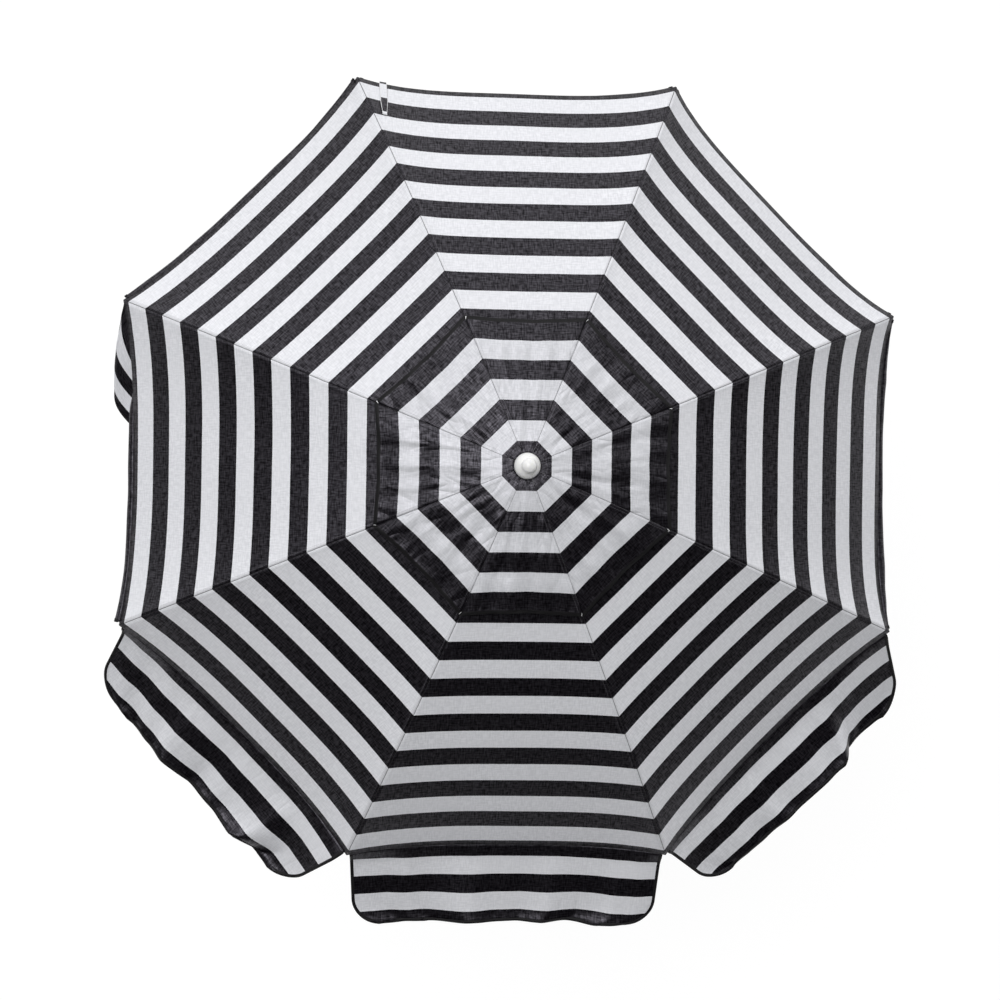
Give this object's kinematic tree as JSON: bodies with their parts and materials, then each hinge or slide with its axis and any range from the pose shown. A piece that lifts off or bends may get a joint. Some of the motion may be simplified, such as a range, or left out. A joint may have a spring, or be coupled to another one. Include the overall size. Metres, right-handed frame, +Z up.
{
  "type": "beach umbrella",
  "caption": "Striped beach umbrella with vent cap and hanging flaps, folding ribs on a sliding runner, tilting mast and a height-adjusting pole with a ground spike.",
  "frame": {"origin": "centre of the lower pole's foot, where the ground spike leaves the tube", "axes": "+Z up along the pole to the finial, -Z into the sand; the three flaps that stand out face -Y"},
  "size_m": [1.8765, 1.8802, 2.3205],
  "materials": {
    "canopy_light": "matte",
    "canopy_dark": "matte",
    "white_pole": "satin",
    "white_plastic": "satin",
    "finial_plastic": "satin",
    "black_plastic": "matte",
    "rib_steel": "satin",
    "plated_steel": "satin",
    "spring_steel": "satin"
  },
  "bodies": {
    "lower_assembly": {"ground_spike": "black_plastic", "lower_pole": "white_pole", "clamp_collar": "white_plastic"},
    "clamp_knob": {"clamp_knob": "black_plastic"},
    "inner_assembly": {"inner_pole": "white_pole", "tilt_fork": "white_plastic", "tilt_pin": "plated_steel"},
    "mast_assembly": {"tilt_knuckle": "white_plastic", "tilt_spring": "spring_steel", "mast": "white_pole", "crown": "white_plastic", "crown_ring": "plated_steel", "finial": "finial_plastic", "finial_screw": "plated_steel", "vent_cap": "canopy_dark", "catch_spring": "spring_steel"},
    "tilt_button": {"tilt_button": "black_plastic"},
    "catch_button": {"catch_button": "plated_steel"},
    "runner": {"runner": "white_plastic"},
    "rib_1": {"rib_1": "rib_steel", "rib_tip_1": "white_plastic"},
    "stretcher_1": {"stretcher_1": "rib_steel"},
    "gore_1": {"gore_1": "canopy_light"},
    "valance_1": {"valance_1": "canopy_dark"},
    "rib_2": {"rib_2": "rib_steel", "rib_tip_2": "white_plastic"},
    "stretcher_2": {"stretcher_2": "rib_steel"},
    "gore_2": {"gore_2": "canopy_light"},
    "valance_2": {"valance_2": "canopy_dark"},
    "rib_3": {"rib_3": "rib_steel", "rib_tip_3": "white_plastic"},
    "stretcher_3": {"stretcher_3": "rib_steel"},
    "gore_3": {"gore_3": "canopy_light", "tie_strap": "canopy_dark"},
    "valance_3": {"valance_3": "canopy_dark"},
    "rib_4": {"rib_4": "rib_steel", "rib_tip_4": "white_plastic"},
    "stretcher_4": {"stretcher_4": "rib_steel"},
    "gore_4": {"gore_4": "canopy_light"},
    "valance_4": {"valance_4": "canopy_dark"},
    "rib_5": {"rib_5": "rib_steel", "rib_tip_5": "white_plastic"},
    "stretcher_5": {"stretcher_5": "rib_steel"},
    "gore_5": {"gore_5": "canopy_light"},
    "valance_5": {"valance_5": "canopy_dark"},
    "rib_6": {"rib_6": "rib_steel", "rib_tip_6": "white_plastic"},
    "stretcher_6": {"stretcher_6": "rib_steel"},
    "gore_6": {"gore_6": "canopy_light"},
    "valance_6": {"valance_6": "canopy_dark"},
    "rib_7": {"rib_7": "rib_steel", "rib_tip_7": "white_plastic"},
    "stretcher_7": {"stretcher_7": "rib_steel"},
    "gore_7": {"gore_7": "canopy_light"},
    "valance_7": {"valance_7": "canopy_dark"},
    "rib_8": {"rib_8": "rib_steel", "rib_tip_8": "white_plastic"},
    "stretcher_8": {"stretcher_8": "rib_steel"},
    "gore_8": {"gore_8": "canopy_light"},
    "valance_8": {"valance_8": "canopy_dark"}
  },
  "joints": [
    {"name": "clamp_knob_turn", "type": "hinge", "parent": "lower_assembly", "child": "clamp_knob", "pos_m": [0.03, 0, 0.828], "axis": [1, 0, 0], "range_deg": [0, 360]},
    {"name": "height_slide", "type": "slide", "parent": "lower_assembly", "child": "inner_assembly", "axis": [0, 0, 1], "range_m": [0, 0.35]},
    {"name": "tilt", "type": "hinge", "parent": "inner_assembly", "child": "mast_assembly", "pos_m": [0, 0, 0.92], "axis": [1, 0, 0], "range_deg": [0, 40]},
    {"name": "tilt_button_press", "type": "slide", "parent": "mast_assembly", "child": "tilt_button", "axis": [0, 1, 0], "range_m": [0, 0.003], "stiffness_N_per_m": 900, "deforming": ["tilt_spring"]},
    {"name": "catch_press", "type": "slide", "parent": "mast_assembly", "child": "catch_button", "axis": [0, 1, 0], "range_m": [0, 0.0035], "stiffness_N_per_m": 900, "deforming": ["catch_spring"]},
    {"name": "fold", "type": "slide", "parent": "mast_assembly", "child": "runner", "axis": [0, 0, -1], "range_m": [0, 0.6562], "deforming": ["vent_cap"]},
    {"name": "rib_1_fold", "type": "hinge", "parent": "mast_assembly", "child": "rib_1", "pos_m": [0.02956, 0.01225, 1.98], "axis": [-0.3827, 0.9239, 0], "range_deg": [0, 69]},
    {"name": "stretcher_1_fold", "type": "hinge", "parent": "rib_1", "child": "stretcher_1", "pos_m": [0.42693, 0.17684, 1.86556], "axis": [-0.3827, 0.9239, 0], "range_deg": [-138, 0]},
    {"name": "rib_2_fold", "type": "hinge", "parent": "mast_assembly", "child": "rib_2", "pos_m": [0.01225, 0.02956, 1.98], "axis": [-0.9239, 0.3827, 0], "range_deg": [0, 69]},
    {"name": "stretcher_2_fold", "type": "hinge", "parent": "rib_2", "child": "stretcher_2", "pos_m": [0.17684, 0.42693, 1.86556], "axis": [-0.9239, 0.3827, 0], "range_deg": [-138, 0]},
    {"name": "rib_3_fold", "type": "hinge", "parent": "mast_assembly", "child": "rib_3", "pos_m": [-0.01225, 0.02956, 1.98], "axis": [-0.9239, -0.3827, 0], "range_deg": [0, 69]},
    {"name": "stretcher_3_fold", "type": "hinge", "parent": "rib_3", "child": "stretcher_3", "pos_m": [-0.17684, 0.42693, 1.86556], "axis": [-0.9239, -0.3827, 0], "range_deg": [-138, 0]},
    {"name": "rib_4_fold", "type": "hinge", "parent": "mast_assembly", "child": "rib_4", "pos_m": [-0.02956, 0.01225, 1.98], "axis": [-0.3827, -0.9239, 0], "range_deg": [0, 69]},
    {"name": "stretcher_4_fold", "type": "hinge", "parent": "rib_4", "child": "stretcher_4", "pos_m": [-0.42693, 0.17684, 1.86556], "axis": [-0.3827, -0.9239, 0], "range_deg": [-138, 0]},
    {"name": "rib_5_fold", "type": "hinge", "parent": "mast_assembly", "child": "rib_5", "pos_m": [-0.02956, -0.01225, 1.98], "axis": [0.3827, -0.9239, 0], "range_deg": [0, 69]},
    {"name": "stretcher_5_fold", "type": "hinge", "parent": "rib_5", "child": "stretcher_5", "pos_m": [-0.42693, -0.17684, 1.86556], "axis": [0.3827, -0.9239, 0], "range_deg": [-138, 0]},
    {"name": "rib_6_fold", "type": "hinge", "parent": "mast_assembly", "child": "rib_6", "pos_m": [-0.01225, -0.02956, 1.98], "axis": [0.9239, -0.3827, 0], "range_deg": [0, 69]},
    {"name": "stretcher_6_fold", "type": "hinge", "parent": "rib_6", "child": "stretcher_6", "pos_m": [-0.17684, -0.42693, 1.86556], "axis": [0.9239, -0.3827, 0], "range_deg": [-138, 0]},
    {"name": "rib_7_fold", "type": "hinge", "parent": "mast_assembly", "child": "rib_7", "pos_m": [0.01225, -0.02956, 1.98], "axis": [0.9239, 0.3827, 0], "range_deg": [0, 69]},
    {"name": "stretcher_7_fold", "type": "hinge", "parent": "rib_7", "child": "stretcher_7", "pos_m": [0.17684, -0.42693, 1.86556], "axis": [0.9239, 0.3827, 0], "range_deg": [-138, 0]},
    {"name": "rib_8_fold", "type": "hinge", "parent": "mast_assembly", "child": "rib_8", "pos_m": [0.02956, -0.01225, 1.98], "axis": [0.3827, 0.9239, 0], "range_deg": [0, 69]},
    {"name": "stretcher_8_fold", "type": "hinge", "parent": "rib_8", "child": "stretcher_8", "pos_m": [0.42693, -0.17684, 1.86556], "axis": [0.3827, 0.9239, 0], "range_deg": [-138, 0]},
    {"name": "gore_1_fold", "type": "hinge", "parent": "mast_assembly", "child": "gore_1", "pos_m": [0.03, 0, 1.98], "axis": [0, 1, 0], "range_deg": [0, 66], "deforming": ["gore_1"]},
    {"name": "valance_1_fold", "type": "hinge", "parent": "gore_1", "child": "valance_1", "pos_m": [0.84812, 0, 1.65447], "axis": [0, 1, 0], "range_deg": [-66, 0], "deforming": ["valance_1"]},
    {"name": "gore_2_fold", "type": "hinge", "parent": "mast_assembly", "child": "gore_2", "pos_m": [0.02121, 0.02121, 1.98], "axis": [-0.7071, 0.7071, 0], "range_deg": [0, 66], "deforming": ["gore_2"]},
    {"name": "valance_2_fold", "type": "hinge", "parent": "gore_2", "child": "valance_2", "pos_m": [0.59971, 0.59971, 1.65447], "axis": [-0.7071, 0.7071, 0], "range_deg": [-66, 0], "deforming": ["valance_2"]},
    {"name": "gore_3_fold", "type": "hinge", "parent": "mast_assembly", "child": "gore_3", "pos_m": [0, 0.03, 1.98], "axis": [-1, 0, 0], "range_deg": [0, 66], "deforming": ["gore_3", "tie_strap"]},
    {"name": "valance_3_fold", "type": "hinge", "parent": "gore_3", "child": "valance_3", "pos_m": [0, 0.84812, 1.65447], "axis": [-1, 0, 0], "range_deg": [-66, 0], "deforming": ["valance_3"]},
    {"name": "gore_4_fold", "type": "hinge", "parent": "mast_assembly", "child": "gore_4", "pos_m": [-0.02121, 0.02121, 1.98], "axis": [-0.7071, -0.7071, 0], "range_deg": [0, 66], "deforming": ["gore_4"]},
    {"name": "valance_4_fold", "type": "hinge", "parent": "gore_4", "child": "valance_4", "pos_m": [-0.59971, 0.59971, 1.65447], "axis": [-0.7071, -0.7071, 0], "range_deg": [-66, 0], "deforming": ["valance_4"]},
    {"name": "gore_5_fold", "type": "hinge", "parent": "mast_assembly", "child": "gore_5", "pos_m": [-0.03, 0, 1.98], "axis": [0, -1, 0], "range_deg": [0, 66], "deforming": ["gore_5"]},
    {"name": "valance_5_fold", "type": "hinge", "parent": "gore_5", "child": "valance_5", "pos_m": [-0.84812, 0, 1.65447], "axis": [0, -1, 0], "range_deg": [-66, 0], "deforming": ["valance_5"]},
    {"name": "gore_6_fold", "type": "hinge", "parent": "mast_assembly", "child": "gore_6", "pos_m": [-0.02121, -0.02121, 1.98], "axis": [0.7071, -0.7071, 0], "range_deg": [0, 66], "deforming": ["gore_6"]},
    {"name": "valance_6_fold", "type": "hinge", "parent": "gore_6", "child": "valance_6", "pos_m": [-0.59971, -0.59971, 1.65447], "axis": [0.7071, -0.7071, 0], "range_deg": [0, 12], "deforming": ["valance_6"]},
    {"name": "gore_7_fold", "type": "hinge", "parent": "mast_assembly", "child": "gore_7", "pos_m": [0, -0.03, 1.98], "axis": [1, 0, 0], "range_deg": [0, 66], "deforming": ["gore_7"]},
    {"name": "valance_7_fold", "type": "hinge", "parent": "gore_7", "child": "valance_7", "pos_m": [0, -0.84812, 1.65447], "axis": [1, 0, 0], "range_deg": [0, 12], "deforming": ["valance_7"]},
    {"name": "gore_8_fold", "type": "hinge", "parent": "mast_assembly", "child": "gore_8", "pos_m": [0.02121, -0.02121, 1.98], "axis": [0.7071, 0.7071, 0], "range_deg": [0, 66], "deforming": ["gore_8"]},
    {"name": "valance_8_fold", "type": "hinge", "parent": "gore_8", "child": "valance_8", "pos_m": [0.59971, -0.59971, 1.65447], "axis": [0.7071, 0.7071, 0], "range_deg": [0, 12], "deforming": ["valance_8"]}
  ],
  "couplings": [
    {"joint": "rib_1_fold", "follows": "fold", "rad_per_m": 1.8347},
    {"joint": "stretcher_1_fold", "follows": "fold", "rad_per_m": -3.6694},
    {"joint": "rib_2_fold", "follows": "fold", "rad_per_m": 1.8347},
    {"joint": "stretcher_2_fold", "follows": "fold", "rad_per_m": -3.6694},
    {"joint": "rib_3_fold", "follows": "fold", "rad_per_m": 1.8347},
    {"joint": "stretcher_3_fold", "follows": "fold", "rad_per_m": -3.6694},
    {"joint": "rib_4_fold", "follows": "fold", "rad_per_m": 1.8347},
    {"joint": "stretcher_4_fold", "follows": "fold", "rad_per_m": -3.6694},
    {"joint": "rib_5_fold", "follows": "fold", "rad_per_m": 1.8347},
    {"joint": "stretcher_5_fold", "follows": "fold", "rad_per_m": -3.6694},
    {"joint": "rib_6_fold", "follows": "fold", "rad_per_m": 1.8347},
    {"joint": "stretcher_6_fold", "follows": "fold", "rad_per_m": -3.6694},
    {"joint": "rib_7_fold", "follows": "fold", "rad_per_m": 1.8347},
    {"joint": "stretcher_7_fold", "follows": "fold", "rad_per_m": -3.6694},
    {"joint": "rib_8_fold", "follows": "fold", "rad_per_m": 1.8347},
    {"joint": "stretcher_8_fold", "follows": "fold", "rad_per_m": -3.6694},
    {"joint": "gore_1_fold", "follows": "fold", "rad_per_m": 1.7549},
    {"joint": "valance_1_fold", "follows": "fold", "rad_per_m": -1.7549},
    {"joint": "gore_2_fold", "follows": "fold", "rad_per_m": 1.7549},
    {"joint": "valance_2_fold", "follows": "fold", "rad_per_m": -1.7549},
    {"joint": "gore_3_fold", "follows": "fold", "rad_per_m": 1.7549},
    {"joint": "valance_3_fold", "follows": "fold", "rad_per_m": -1.7549},
    {"joint": "gore_4_fold", "follows": "fold", "rad_per_m": 1.7549},
    {"joint": "valance_4_fold", "follows": "fold", "rad_per_m": -1.7549},
    {"joint": "gore_5_fold", "follows": "fold", "rad_per_m": 1.7549},
    {"joint": "valance_5_fold", "follows": "fold", "rad_per_m": -1.7549},
    {"joint": "gore_6_fold", "follows": "fold", "rad_per_m": 1.7549},
    {"joint": "valance_6_fold", "follows": "fold", "rad_per_m": 0.31864},
    {"joint": "gore_7_fold", "follows": "fold", "rad_per_m": 1.7549},
    {"joint": "valance_7_fold", "follows": "fold", "rad_per_m": 0.31864},
    {"joint": "gore_8_fold", "follows": "fold", "rad_per_m": 1.7549},
    {"joint": "valance_8_fold", "follows": "fold", "rad_per_m": 0.31864}
  ]
}
